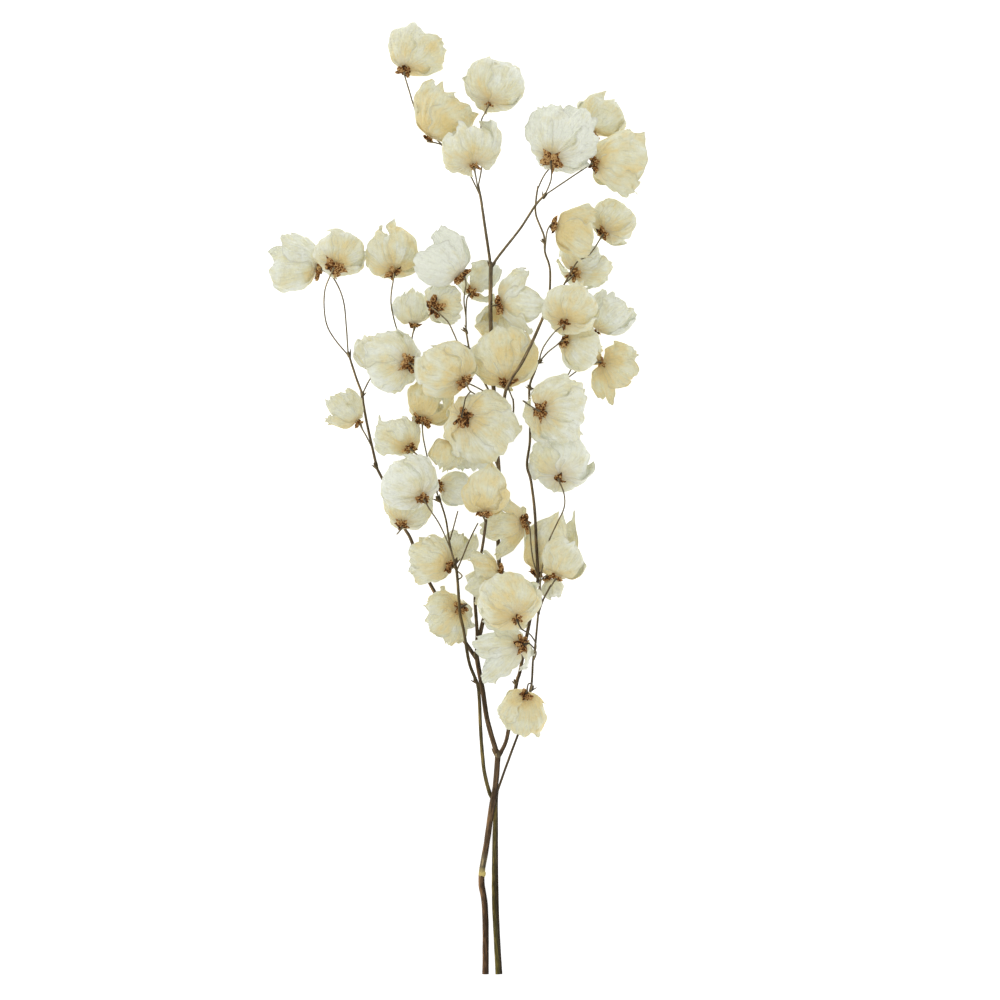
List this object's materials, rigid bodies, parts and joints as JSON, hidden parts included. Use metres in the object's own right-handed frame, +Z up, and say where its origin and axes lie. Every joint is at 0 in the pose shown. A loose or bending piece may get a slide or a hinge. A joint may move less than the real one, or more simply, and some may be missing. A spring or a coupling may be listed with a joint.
{
  "type": "dried bougainvillea bunch",
  "caption": "Bunch of dried bougainvillea laid flat: slender branched brown stems with round papery cream heads of lapped bracts.",
  "frame": {"origin": "centre of the lying bunch's footprint, on the surface it lies on", "axes": "+Y from the cut stem ends to the topmost heads, +X to the right seen from above, +Z up"},
  "size_m": [0.2576, 0.6548, 0.07],
  "materials": {
    "bract": "thin dry papery bracts, cream to straw, matt with a faint silky sheen",
    "stem_brown": "dry ridged bark, matt greyish brown",
    "stem_olive": "dry smooth bark, matt olive brown",
    "stem_dark": "dry thin stem, matt dark brown"
  },
  "bodies": {
    "root": {"head_01": "bract", "head_02": "bract", "head_03": "bract", "head_04": "bract", "head_05": "bract", "head_06": "bract", "head_07": "bract", "head_08": "bract", "head_09": "bract", "head_10": "bract", "head_11": "bract", "head_12": "bract", "head_13": "bract", "head_14": "bract", "head_15": "bract", "head_16": "bract", "head_17": "bract", "head_18": "bract", "head_19": "bract", "head_20": "bract", "head_21": "bract", "head_22": "bract", "head_23": "bract", "head_24": "bract", "head_25": "bract", "head_26": "bract", "head_27": "bract", "head_28": "bract", "head_29": "bract", "head_30": "bract", "head_31": "bract", "head_32": "bract", "head_33": "bract", "head_34": "bract", "head_35": "bract", "head_36": "bract", "head_37": "bract", "head_38": "bract", "head_39": "bract", "head_40": "bract", "head_41": "bract", "head_42": "bract", "head_43": "bract", "head_44": "bract", "head_45": "bract", "head_46": "bract", "head_47": "bract", "head_48": "bract", "head_49": "bract", "head_50": "bract", "stem_a": "stem_brown", "stem_b": "stem_olive", "stem_c": "stem_dark"}
  },
  "joints": []
}
